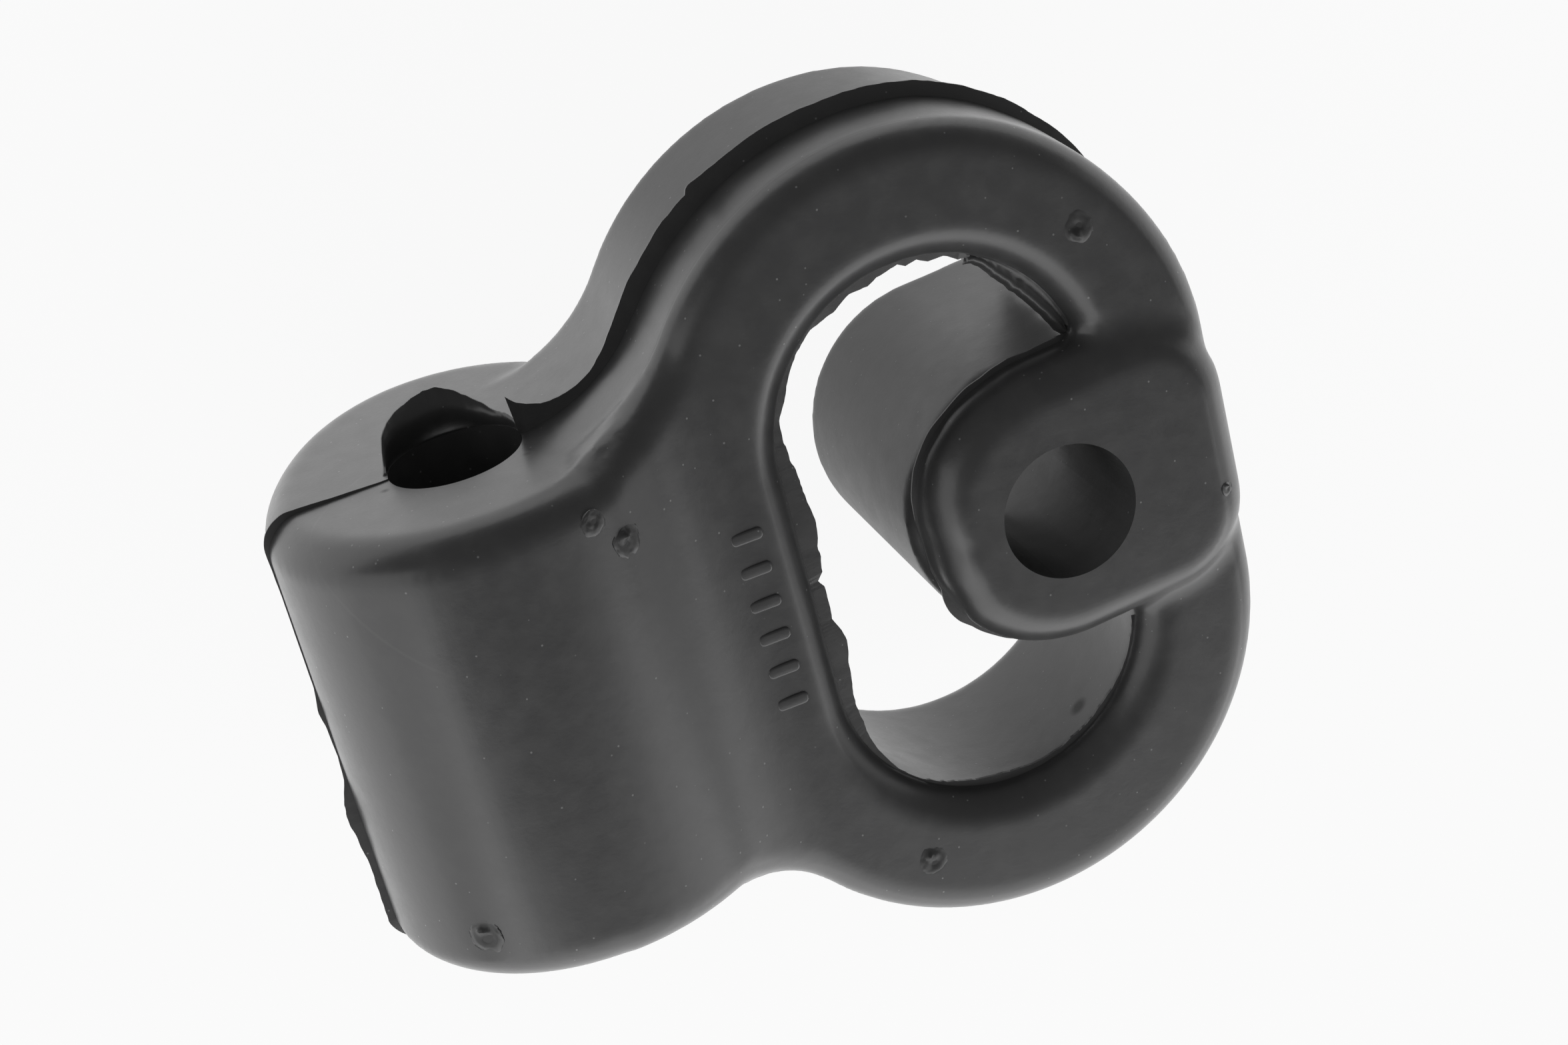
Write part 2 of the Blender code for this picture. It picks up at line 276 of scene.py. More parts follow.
def loft(name, sections, smooth=True):
    """A closed solid through its sections, which have the same number of points."""
    bm = bmesh.new()
    loops = []
    for section in sections:
        verts = [bm.verts.new(point) for point in section]
        loops.append([bm.edges.new(pair) for pair in zip(verts, verts[1:] + verts[:1])])
    for near, far in zip(loops, loops[1:]):
        bmesh.ops.bridge_loops(bm, edges=near + far)
    for end in (loops[0], loops[-1]):
        bmesh.ops.contextual_create(bm, geom=end)
    return finished(bm, name, smooth)


def plan_loft(name, outline, levels):
    """A solid whose plan outline follows the inset of each level."""
    return loft(name, [[(x, y, z) for x, y in outline(inset, z)] for z, inset in levels])


def edge_turn(step):
    """How far a moulded edge has come round at a step, up and inwards: flatter than a circle."""
    turn = math.pi / 2 * step / EDGE_STEPS
    return abs(math.cos(turn)) ** EDGE_FLATNESS, math.sin(turn) ** EDGE_FLATNESS


def round_levels(waist, *ends):
    """Heights between two ends with the inset at each. An end is its height, edge and taper.

    The edges are soft, and the sides taper from the waist towards each end.
    """
    levels = []
    for side, (end, edge, taper) in zip((-1, 1), ends):
        for i in range(EDGE_STEPS + 1):
            up, inwards = edge_turn(i)
            level = end - side * edge * (1 - up)
            levels.append((level, edge * (1 - inwards) + taper * abs(level - waist)))
    levels.append((waist, 0.0))
    return sorted(levels)


def sweep(face, side, ring_y):
    """The concave sweep from the block into the ring: its centre, and the angle where they meet."""
    centre_y = face + side * SWEEP_RADIUS
    rise = centre_y - ring_y
    centre_x = RING_X - math.sqrt((RING_RADIUS + SWEEP_RADIUS) ** 2 - rise ** 2)
    return (centre_x, centre_y), math.atan2(rise, centre_x - RING_X)


RING_TOP = (RING_X, RING_Y + RING_HALF_STRAIGHT)
RING_BOTTOM = (RING_X, RING_Y - RING_HALF_STRAIGHT)
TOP_SWEEP, TOP_MEET = sweep(BLOCK_TOP - SWEEP_SINK, 1, RING_TOP[1])
BOTTOM_SWEEP, BOTTOM_MEET = sweep(BLOCK_BOTTOM + SWEEP_SINK, -1, RING_BOTTOM[1])


def ring_top_radius(angle):
    """The radius of the ring's upper half, which is a little flatter at its right."""
    first, last = SHOULDER_TURNS
    turn = math.degrees(angle)
    if not first < turn < last:
        return RING_RADIUS
    along = math.radians((turn - first) * 180 / (last - first))
    return RING_RADIUS - SHOULDER * max(0.0, math.sin(along)) ** 2


def ring_waist(angle, z):
    """How far the ring's outer wall draws in just in front of the parting plane."""
    first, last = WAIST_TURNS
    along = (math.degrees(angle) - first) / (last - first)
    up = (z - PART_Z + WAIST_BEHIND) / WAIST_DEPTH
    if not (0 < along < 1 and 0 < up < 1):
        return 0.0
    return WAIST * math.sin(math.pi * along) ** 0.6 * math.cos(math.pi / 2 * up) ** 0.5


def plate_outline(inset, z):
    """The ring's outer outline with its sweeps, which ends inside the block."""
    bend = SWEEP_RADIUS + inset
    points = [(BLOCK_X, BLOCK_BOTTOM + PLATE_TUCK + inset)]
    points += arc(BOTTOM_SWEEP, bend, math.pi / 2, BOTTOM_MEET + math.pi, SWEEP_STEPS)
    points += arc(RING_BOTTOM, RING_RADIUS - inset, BOTTOM_MEET, 0.0, RING_STEPS)[1:]
    for i in range(RING_STEPS + 1):
        angle = TOP_MEET * i / RING_STEPS
        points.append(on_circle(RING_TOP, ring_top_radius(angle) - inset - ring_waist(angle, z),
                                angle))
    points += arc(TOP_SWEEP, bend, -math.pi / 2, TOP_MEET - math.pi, SWEEP_STEPS)[-2::-1]
    points.append((BLOCK_X, BLOCK_TOP - PLATE_TUCK - inset))
    return points


def opening_outline(widened, z, steps=60):
    """The opening: two half circles and the straight sides between them."""
    radius = OPENING_RADIUS + widened
    return (arc(OPENING_TOP, radius, 0.0, math.pi, steps)
            + arc(OPENING_BOTTOM, radius, math.pi, 2 * math.pi, steps))


def boss_outline(inset, z):
    """The boss: a round side towards the block, leaning flat sides, an end with round corners."""
    corner = BOSS_CORNER - inset
    corner_x = BOSS_END_X - inset - corner
    across = BOSS_RADIUS - inset - corner
    middle_y = BOSS[1] + (corner_x - BOSS[0]) * math.tan(BOSS_LEAN)
    reach = across / math.cos(BOSS_LEAN)
    points = []
    in_front = z > WAIST_Z - BOSS_CHANGE / 2
    for i in range(BOSS_STEPS + 1):
        turn = 90 + math.degrees(BOSS_LEAN) + 180 * i / BOSS_STEPS
        radius = read_off(BOSS_FRONT_RADII, turn) if in_front else BOSS_RADIUS
        points.append(on_circle(BOSS, radius - inset, math.radians(turn)))
    quarter = math.pi / 2
    points += arc((corner_x, middle_y - reach), corner, BOSS_LEAN - quarter, 0.0, CORNER_STEPS)
    points += arc((corner_x, middle_y + reach), corner, 0.0, BOSS_LEAN + quarter, CORNER_STEPS)
    return points


def block_width(side, y):
    """Half the block's width: the side away from the ring tapers a little towards the top."""
    if side > 0:
        return BLOCK_HALF_WIDTH
    taper = BLOCK_TAPER * (y - BLOCK_BOTTOM) / (BLOCK_TOP - BLOCK_BOTTOM)
    return BLOCK_HALF_WIDTH - BLOCK_NARROWER - taper


def block_section(y, inset):
    """The block's oval across its bore."""
    points = []
    for i in range(BLOCK_STEPS):
        angle = 2 * math.pi * i / BLOCK_STEPS
        width = block_width(math.cos(angle), y)
        depth = BLOCK_FRONT if math.sin(angle) > 0 else BLOCK_REAR
        points.append((BLOCK_X + (width - inset) * math.cos(angle), y,
                       PART_Z + (depth - inset) * math.sin(angle)))
    return points


def make_block():
    """The block with its two soft ends."""
    levels = round_levels(BLOCK_MIDDLE, (BLOCK_BOTTOM, BLOCK_EDGE, 0.0),
                          (BLOCK_TOP, BLOCK_EDGE, 0.0))
    return loft("block", [block_section(y, inset) for y, inset in levels])


def block_rise(across):
    """The height of the block's front over the parting plane, off its middle."""
    return BLOCK_FRONT * math.sqrt(1 - (across / BLOCK_HALF_WIDTH) ** 2)


def front_profile(start, plate_z):
    """The block's front and the soft hollow where it runs out into the ring's face: x and z."""
    rise = block_rise(start)
    slope = rise * start / (BLOCK_HALF_WIDTH ** 2 - start ** 2)
    top = Vector((BLOCK_X + start, PART_Z + rise))
    corner = Vector((top.x + (top.y - plate_z) / slope, plate_z))
    foot = Vector((corner.x + (corner - top).length, plate_z))
    profile = []
    for i in range(PROFILE_STEPS):
        x = BLOCK_X + start * i / PROFILE_STEPS
        profile.append((x, PART_Z + block_rise(x - BLOCK_X)))
    for i in range(PROFILE_STEPS + 1):
        t = i / PROFILE_STEPS
        point = top * (1 - t) ** 2 + corner * 2 * t * (1 - t) + foot * t ** 2
        profile.append((point.x, point.y))
    return profile


def end_line(x, side):
    """The plan outline at x, on its upper (1) or lower (-1) side, and the direction inwards."""
    centre, meet, ring, face = ((TOP_SWEEP, TOP_MEET, RING_TOP, BLOCK_TOP) if side > 0 else
                                (BOTTOM_SWEEP, BOTTOM_MEET, RING_BOTTOM, BLOCK_BOTTOM))
    if x <= centre[0]:
        return (x, face), (0.0, -side)
    if x <= ring[0] + RING_RADIUS * math.cos(meet):
        across = x - centre[0]
        up = math.sqrt(SWEEP_RADIUS ** 2 - across ** 2)
        return (x, centre[1] - side * up), (across / SWEEP_RADIUS, -side * up / SWEEP_RADIUS)
    across = ring[0] - x
    up = math.sqrt(RING_RADIUS ** 2 - across ** 2)
    return (x, ring[1] + side * up), (across / RING_RADIUS, -side * up / RING_RADIUS)


def make_hood():
    """The block's front carried over into the ring's face, with one round edge along both ends."""
    profile = front_profile(HOOD_START, RING_FRONT_Z - HOOD_UNDER)

    def tapered(point, inwards, side, inset, z):
        proud = side * point[1] - (BLOCK_TOP if side > 0 else -BLOCK_BOTTOM)
        inset += min(PLATE_TAPER * (z - PART_Z) + HOOD_SINK, max(0.0, proud))
        return (point[0] + inwards[0] * inset, point[1] + inwards[1] * inset, z)

    sections = []
    steps = range(EDGE_STEPS + 1)
    for side, turns in ((1, steps), (-1, reversed(steps))):
        for i in turns:
            inset, drop = (HOOD_EDGE * (1 - share) for share in edge_turn(i))
            section, foot = [], []
            for x, z in profile:
                point, inwards = end_line(x, side)
                level = read_off(profile, x + inwards[0] * inset) - drop
                section.append(tapered(point, inwards, side, inset, level))
                foot.append(tapered(point, inwards, side, inset, HOOD_FOOT_Z))
            sections.append(section + foot[::-1])
    return loft("hood", sections)


def make_rod(name, radius, centre, length, along_y=False):
    """A cylinder that cuts a bore."""
    bm = bmesh.new()
    bmesh.ops.create_cone(bm, cap_ends=True, segments=BORE_STEPS, radius1=radius, radius2=radius,
                          depth=length)
    if along_y:
        bmesh.ops.rotate(bm, matrix=Matrix.Rotation(math.pi / 2, 3, "X"), verts=bm.verts)
    bmesh.ops.translate(bm, vec=centre, verts=bm.verts)
    return finished(bm, name)


def settle(thing):
    """Works the object's modifiers into its mesh."""
    evaluated = thing.evaluated_get(bpy.context.evaluated_depsgraph_get())
    mesh = bpy.data.meshes.new_from_object(evaluated)
    thing.modifiers.clear()
    thing.data = mesh


def combined(base, *steps):
    """The base with each other solid added or cut, and the others cleared away."""
    for other, operation in steps:
        join = base.modifiers.new(other.name, "BOOLEAN")
        join.operation, join.solver, join.object = operation, "EXACT", other
    settle(base)
    for other, operation in steps:
        bpy.data.objects.remove(other, do_unlink=True)
    return base


def relax(bm, verts, passes):
    """Moves the points towards the middle of their neighbours, some times over."""
    for i in range(passes):
        bmesh.ops.smooth_vert(bm, verts=verts, factor=0.5,
                              use_axis_x=True, use_axis_y=True, use_axis_z=True)


def soften(bm, valley_passes):
    """Smooths the skin lightly all over and more in the hollows, as a moulded blend has them."""
    relax(bm, bm.verts, SKIN_PASSES)
    bm.normal_update()
    hollow = set()
    for vert in bm.verts:
        near = [edge.other_vert(vert).co for edge in vert.link_edges]
        middle = sum(near, Vector()) / len(near)
        if (middle - vert.co).dot(vert.normal) > HOLLOW_DEPTH * MM:
            hollow.add(vert)
    for i in range(HOLLOW_RINGS):
        hollow |= {edge.other_vert(vert) for vert in hollow for edge in vert.link_edges}
    relax(bm, list(hollow), valley_passes)


def flash_strip(name, roots, tips, level, thickness):
    """A thin torn skin of rubber that stands out from roots to tips in one plane.

    It thins towards its tips and at both ends.
    """
    sections = []
    last = len(roots) - 1
    for i, (root, tip) in enumerate(zip(roots, tips)):
        half = thickness / 2 * min(1.0, STRIP_END + min(i, last - i) / STRIP_END_STEPS)
        sections.append([(*root, level - half), (*root, level + half),
                         (*tip, level + half * STRIP_TIP), (*tip, level - half * STRIP_TIP)])
    return loft(name, sections, smooth=False)


def stood_out(path, heights, sunk):
    """Roots and tips along a path of (point, outward direction), with a height for each."""
    roots, tips = [], []
    for ((x, y), (nx, ny)), height in zip(path, heights):
        roots.append((x - nx * sunk, y - ny * sunk))
        tips.append((x + nx * height, y + ny * height))
    return roots, tips


def with_normals(points, outward=1.0):
    """Each point of a line with the direction square to it: to its right, or its left for -1."""
    path = []
    for i, point in enumerate(points):
        before, after = points[max(i - 1, 0)], points[min(i + 1, len(points) - 1)]
        dx, dy = after[0] - before[0], after[1] - before[1]
        size = math.hypot(dx, dy)
        path.append((point, (dy / size * outward, -dx / size * outward)))
    return path


def spaced(points, step):
    """The same line with points at an even spacing."""
    even = [points[0]]
    left = step
    for a, b in zip(points, points[1:]):
        length = math.dist(a, b)
        done = 0.0
        while length - done >= left:
            done += left
            even.append(tuple(p + (q - p) * done / length for p, q in zip(a, b)))
            left = step
        left -= length - done
    return even


class Wire:
    """A value on its way through a material's nodes. Its sums and products add Math nodes."""

    def __init__(self, finish, socket):
        self.finish, self.socket = finish, socket

    def maths(self, operation, *others, clamp=False):
        settings = {"operation": operation, "use_clamp": clamp}
        return self.finish.node("ShaderNodeMath", settings, dict(enumerate((self, *others))))

    def __add__(self, other):
        return self.maths("ADD", other)

    def __sub__(self, other):
        return self.maths("SUBTRACT", other)

    def __mul__(self, other):
        return self.maths("MULTIPLY", other)

    __radd__ = __add__

    def __rsub__(self, other):
        return (self * -1.0) + other

    def below(self, edge, width):
        """1 under the edge and 0 over it, with a soft step of that width."""
        return self.maths("SUBTRACT", edge + width / 2).maths("DIVIDE", -width, clamp=True)

    def near(self, reach, width):
        """1 where the value is closer to 0 than the reach, with a soft step of that width."""
        return self.maths("ABSOLUTE").below(reach, width)


class Finish:
    """A material and its nodes."""

    def __init__(self, name):
        self.material = bpy.data.materials.new(name)
        self.material.use_nodes = True
        self.tree = self.material.node_tree
        self.tree.nodes.clear()

    def node(self, kind, settings=None, values=None, output=0):
        """A node of that kind: its settings first, then the values or wires of its sockets."""
        node = self.tree.nodes.new(kind)
        for name, value in (settings or {}).items():
            setattr(node, name, value)
        for name, value in (values or {}).items():
            if isinstance(value, Wire):
                self.tree.links.new(value.socket, node.inputs[name])
            else:
                node.inputs[name].default_value = value
        return Wire(self, node.outputs[output])

    def position(self):
        """The place on the object, in millimetres."""
        place = self.node("ShaderNodeTexCoord", output="Object")
        return self.node("ShaderNodeVectorMath", {"operation": "SCALE"},
                         {0: place, "Scale": 1 / MM})

    def split(self, vector):
        """The three parts of a vector."""
        node = self.tree.nodes.new("ShaderNodeSeparateXYZ")
        self.tree.links.new(vector.socket, node.inputs[0])
        return [Wire(self, socket) for socket in node.outputs]

    def clouds(self, place, scale, detail, roughness):
        """Soft noise from 0 to 1."""
        values = {"Vector": place, "Scale": scale, "Detail": detail, "Roughness": roughness}
        return self.node("ShaderNodeTexNoise", {"noise_dimensions": "3D"}, values)

    def distance(self, place, point):
        """How far a place is from a point."""
        return self.node("ShaderNodeVectorMath", {"operation": "DISTANCE"},
                         {0: place, 1: point}, output="Value")

    def mixed(self, mask, low, high):
        """A colour between two, by a mask. The node's colours are its sockets 6 and 7."""
        return self.node("ShaderNodeMix", {"data_type": "RGBA", "clamp_factor": True},
                         {0: mask, 6: low, 7: high}, output=2)

    def ray(self, kind):
        """1 for rays of that kind, such as camera or glossy."""
        return self.node("ShaderNodeLightPath", output="Is %s Ray" % kind)

    def surface(self, shader):
        """The material, with that shader as its surface."""
        output = self.tree.nodes.new("ShaderNodeOutputMaterial")
        self.tree.links.new(shader.socket, output.inputs["Surface"])
        return self.material


def grey(level):
    """A grey as a colour."""
    return (level, level, level, 1.0)


def rubber_finish(colours):
    """Moulded black rubber: matte and faintly cloudy, with dust in its pores, a few scuffs, and
    painted shade on the gate marks and in the block's bore.
    """
    finish = Finish("black_rubber")
    place = finish.position()
    x, y, z = finish.split(place)
    grain = finish.clouds(place, 3.4, 4.0, 0.62)
    skin = finish.clouds(place, 0.55, 3.0, 0.5)
    broad = finish.clouds(place, 0.11, 2.0, 0.5)

    level = sum(colours.rubber) / 3
    colour = finish.mixed(skin.below(0.62, 0.4), grey(level * 1.22), (*colours.rubber, 1.0))
    colour = finish.mixed(broad.below(0.47, 0.2) * 0.45, colour, grey(level * 0.82))

    # Pale specks of dust, in patches only
    dust = finish.node("ShaderNodeTexVoronoi", {"feature": "F1", "distance": "EUCLIDEAN"},
                       {"Vector": place, "Scale": 0.85, "Randomness": 1.0}, output="Distance")
    patchy = finish.clouds(place, 0.35, 2.0, 0.5)
    specks = dust.below(0.065, 0.03) * (1 - patchy.below(0.44, 0.06))
    colour = finish.mixed(specks * colours.dust, colour, grey(0.32))

    # Dark spots, painted shade on the gate marks, and painted shade inside the block's bore
    dark = finish.distance(place, WALL_SPOT).below(0.7, 0.6)
    # Painted shade: each gate mark is darkened where its raised nub has its shaded side
    gate_mark_shade = tuple((point, radius * 0.8) for point, radius, turn, stub in GATE_MARKS)
    for point, radius in DARK_SPOTS + gate_mark_shade:
        dark = dark.maths("MAXIMUM", finish.distance(place, point).below(radius, 0.4))
    colour = finish.mixed(dark * 0.75, colour, grey(level * 0.2))
    # Painted shade: the rubber is darkened by colour inside the block's bore and round its collar
    axis = finish.node("ShaderNodeCombineXYZ", None, {"X": x, "Y": 0.0, "Z": z})
    bore = finish.distance(axis, (BLOCK_X, 0.0, PART_Z)).below(BORE_SHADE_RADIUS, 0.1)
    colour = finish.mixed(bore * 0.2, colour, grey(level * 0.1))

    # A light scratch on the block's front
    across = finish.distance(place, SCRATCH_CENTRE) - SCRATCH_RADIUS
    along = x.below(SCRATCH_X[1], 1.5) * (1 - x.below(SCRATCH_X[0], 1.5))
    colour = finish.mixed(across.near(0.10, 0.12) * along * 0.18, colour, grey(0.15))

    # The faint line along the ring's outer wall
    away = finish.distance(place, (*RING_TOP, WALL_LINE_Z)) - WALL_LINE_RADIUS
    line = (z - WALL_LINE_Z).near(0.09, 0.1) * away.near(0.7, 0.2)
    line *= 1 - y.below(WALL_LINE_Y, 6.0)
    colour = finish.mixed(line * 0.4, colour, grey(0.18))

    rough = colours.roughness + (skin - 0.5) * 0.16 + (grain - 0.5) * 0.10 + dark * 0.3
    height = grain * 0.012 + skin * 0.035
    bump = finish.node("ShaderNodeBump", None,
                       {"Strength": 0.55, "Distance": MM, "Height": height})
    shader = finish.node("ShaderNodeBsdfPrincipled", None,
                         {"Base Color": colour, "Roughness": rough, "Normal": bump, "Metallic": 0.0,
                          "IOR": 1.5, "Specular IOR Level": 0.8,
                          "Coat Weight": 0.4, "Coat Roughness": 0.24, "Coat IOR": 1.5})
    return finish.surface(shader)


def floor_finish(colours):
    """A pale floor that keeps a soft shadow, and that the rubber mirrors as bright, apart from a
    painted shadow under and beside the part.
    """
    finish = Finish("pale_floor")
    lit = finish.node("ShaderNodeBsdfDiffuse", None, {"Color": (*colours.floor, 1.0)})
    glow = finish.node("ShaderNodeEmission", None, {"Color": (1, 1, 1, 1), "Strength": 1.0})
    place = finish.position()
    # Painted shadow: what the rubber mirrors of the floor is darkened in two round patches near the
    # part
    near, far = (finish.distance(place, centre).below(radius, width)
                 for centre, radius, width in FLOOR_SHADES)
    shade = near.maths("MAXIMUM", far) * 0.5
    mirrored = finish.ray("Glossy").maths("MAXIMUM", finish.ray("Transmission")) * (1 - shade)
    seen = (finish.ray("Camera") * colours.backdrop).maths("MAXIMUM", mirrored)
    return finish.surface(finish.node("ShaderNodeMixShader", None, {0: seen, 1: lit, 2: glow}))


def dressed(piece):
    """Gives a piece its rubber, which is made for the first of them, and its place on the body."""
    rubber = bpy.data.materials.get("black_rubber")
    piece.data.materials.clear()
    piece.data.materials.append(rubber or rubber_finish(bpy.context.scene.buffer_colours))
    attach(piece, ROOT)


def skin_place(body, point):
    """The nearest place on the body's skin to a point in millimetres, and its direction."""
    found, place, normal, index = body.closest_point_on_mesh(Vector(point) * MM)
    if not found:
        raise RuntimeError("no skin near " + str(point))
    return place / MM, normal


def on_skin(bm, place, normal, turn):
    """Moves a bmesh drawn at the origin, with +Z outwards, onto the skin."""
    outwards = normal.to_track_quat("Z", "Y").to_matrix().to_4x4()
    matrix = Matrix.Translation(place) @ outwards @ Matrix.Rotation(turn, 4, "Z")
    bmesh.ops.transform(bm, verts=bm.verts, matrix=matrix)


class BufferSizes(bpy.types.PropertyGroup):
    """Sizes that can be changed before the pieces are built."""
    block_bore: bpy.props.FloatProperty(
        name="Block bore", description="Diameter of the bore through the block",
        default=10.0 * MM, min=4 * MM, max=20 * MM, unit="LENGTH", precision=4)
    boss_bore: bpy.props.FloatProperty(
        name="Boss bore", description="Diameter of the bore through the boss",
        default=10.5 * MM, min=4 * MM, max=16 * MM, unit="LENGTH", precision=4)
    skin_step: bpy.props.FloatProperty(
        name="Skin step", description="How finely the body's skin is divided",
        default=0.42 * MM, min=0.3 * MM, max=2 * MM, unit="LENGTH", precision=5)
    valley_passes: bpy.props.IntProperty(
        name="Blend passes", description="How often the hollows of the skin are smoothed",
        default=7, min=0, max=60)
    fin_thickness: bpy.props.FloatProperty(
        name="Fin thickness", description="Thickness of the flash on the outer parting plane",
        default=0.5 * MM, min=0.1 * MM, max=1 * MM, unit="LENGTH", precision=5)
    web_thickness: bpy.props.FloatProperty(
        name="Web thickness", description="Thickness of the flash inside the opening",
        default=0.5 * MM, min=0.1 * MM, max=1 * MM, unit="LENGTH", precision=5)
    raggedness: bpy.props.FloatProperty(
        name="Raggedness", description="How uneven the torn edges of the flash are",
        default=1.0, min=0.0, max=3.0, subtype="FACTOR")
    rib_height: bpy.props.FloatProperty(
        name="Rib height", description="Height of the plain ribs beside the opening",
        default=0.18 * MM, min=0.05 * MM, max=0.6 * MM, unit="LENGTH", precision=5)


class BufferColours(bpy.types.PropertyGroup):
    """Colours and light that can be changed before the pieces are built."""
    rubber: bpy.props.FloatVectorProperty(
        name="Rubber", description="Colour of the rubber", subtype="COLOR", size=3,
        default=(0.070, 0.070, 0.071), min=0.0, max=1.0)
    roughness: bpy.props.FloatProperty(
        name="Roughness", description="How matte the rubber is", default=0.34, min=0.0, max=1.0,
        subtype="FACTOR")
    dust: bpy.props.FloatProperty(
        name="Dust", description="How much the pale specks of dust show", default=0.8, min=0.0,
        max=1.0, subtype="FACTOR")
    floor: bpy.props.FloatVectorProperty(
        name="Floor", description="Colour of the floor", subtype="COLOR", size=3,
        default=(0.93, 0.93, 0.93), min=0.0, max=1.0)
    backdrop: bpy.props.FloatProperty(
        name="Backdrop light", description="How far the floor is lit by itself to the camera",
        default=0.93, min=0.0, max=1.0, subtype="FACTOR")
    lamps: bpy.props.FloatProperty(
        name="Lamps", description="Level of the studio lamps", default=1.0, min=0.0, max=4.0)


class BUFFER_OT_body(bpy.types.Operator):
    """Builds the body: block, ring with its opening, boss and both bores, in one soft skin"""
    bl_idname = "buffer.body"
    bl_label = "Body"

    def execute(self, context):
        sizes = context.scene.buffer_sizes
        plate = plan_loft("plate", plate_outline, round_levels(
            PART_Z, (RING_REAR_Z, PLATE_EDGE, 0.0), (RING_FRONT_Z, PLATE_EDGE, PLATE_TAPER)))
        levels = round_levels(WAIST_Z, (RING_REAR_Z, PLATE_EDGE, OPENING_REAR_TAPER),
                              (RING_FRONT_Z, PLATE_EDGE, OPENING_FRONT_TAPER))
        opening = plan_loft("opening", opening_outline, [
            (RING_REAR_Z - CUT_MARGIN, levels[0][1]), *levels,
            (RING_FRONT_Z + CUT_MARGIN, levels[-1][1])])
        levels = round_levels(PART_Z, (BOSS_REAR_Z, BOSS_REAR_EDGE, 0.0),
                              (BOSS_FRONT_Z, BOSS_FRONT_EDGE, 0.0))
        boss = plan_loft("boss", boss_outline, sorted(
            levels + [(WAIST_Z - BOSS_CHANGE, 0.0), (WAIST_Z, 0.0)]))
        hood = make_hood()
        block_bore = make_rod("block_bore", sizes.block_bore / 2 / MM,
                              (BLOCK_X, BLOCK_MIDDLE, PART_Z), BLOCK_BORE_CUT, along_y=True)
        boss_bore = make_rod("boss_bore", sizes.boss_bore / 2 / MM,
                             (*BOSS, (BOSS_FRONT_Z + BOSS_REAR_Z) / 2), BOSS_BORE_CUT)
        body = combined(make_block(), (plate, "UNION"), (hood, "UNION"),
                        (opening, "DIFFERENCE"), (boss, "UNION"))
        body.name = "moulded_body"
        skin = body.modifiers.new("skin", "REMESH")
        skin.mode = "VOXEL"
        skin.voxel_size = sizes.skin_step
        skin.use_smooth_shade = True
        settle(body)
        bm = bmesh.new()
        bm.from_mesh(body.data)
        soften(bm, sizes.valley_passes)
        bm.to_mesh(body.data)
        bm.free()
        combined(body, (block_bore, "DIFFERENCE"), (boss_bore, "DIFFERENCE"))
        body.data.set_sharp_from_angle(angle=math.radians(SHARP_ANGLE))
        dressed(body)
        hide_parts(NODE)
        return {"FINISHED"}


class BUFFER_OT_outer_fin(bpy.types.Operator):
    """Builds the fin of flash round the ring's top, with its torn tip beside the block's bore"""
    bl_idname = "buffer.outer_fin"
    bl_label = "Outer fin"

    def execute(self, context):
        sizes = context.scene.buffer_sizes
        meet = math.degrees(TOP_MEET)
        tip, end = SWEEP_FIN[0][0], RING_FIN[0][0]
        turns = [(tip + (meet - 180 - tip) * i / FIN_SWEEP_STEPS, True)
                 for i in range(FIN_SWEEP_STEPS)]
        turns += [(meet + (end - meet) * i / FIN_RING_STEPS, False)
                  for i in range(FIN_RING_STEPS + 1)]
        roots, tips = [], []
        for turn, on_sweep in turns:
            angle = math.radians(turn)
            centre, radius, table, out = (
                (TOP_SWEEP, SWEEP_RADIUS, SWEEP_FIN, -1) if on_sweep else
                (RING_TOP, ring_top_radius(angle), RING_FIN, 1))
            height = read_off(table, turn)
            rough = tear("outer_fin", *on_circle(centre, radius, angle)) * sizes.raggedness
            height += rough * min(1.0, height)
            roots.append(on_circle(centre, radius - out * FIN_ROOT, angle))
            tips.append(on_circle(centre, radius + out * height, angle))
        dressed(flash_strip("outer_fin", roots, tips, PART_Z, sizes.fin_thickness / MM))
        return {"FINISHED"}


class BUFFER_OT_end_flash(bpy.types.Operator):
    """Builds the low line of flash over the block's top and down its outer side"""
    bl_idname = "buffer.end_flash"
    bl_label = "End flash"

    def execute(self, context):
        sizes = context.scene.buffer_sizes
        corner = BLOCK_EDGE
        top = (BLOCK_X - block_width(-1, BLOCK_TOP) + corner, BLOCK_TOP - corner)
        foot_y = BLOCK_BOTTOM + corner
        foot = (BLOCK_X - block_width(-1, foot_y) + corner, foot_y)
        line = [(BLOCK_X - sizes.block_bore / 2 / MM, BLOCK_TOP)]
        line += arc(top, corner, math.pi / 2, math.pi, 10)
        line += arc(foot, corner, math.pi, END_FLASH_FOOT, 8)
        path = with_normals(spaced(line, LINE_STEP))
        heights = []
        for i, ((x, y), direction) in enumerate(path):
            height = read_off(END_LINE, i / (len(path) - 1))
            height *= 1 + tear("end_flash", x, y) * sizes.raggedness
            room = (x - SOLID_BOX[0][0] / MM) / max(0.3, -direction[0]) - END_FLASH_ROOM
            heights.append(min(max(height, END_FLASH_LEAST), room))
        roots, tips = stood_out(path, heights, END_FLASH_ROOT)
        dressed(flash_strip("end_flash", roots, tips, PART_Z, END_FLASH_THICKNESS))
        return {"FINISHED"}


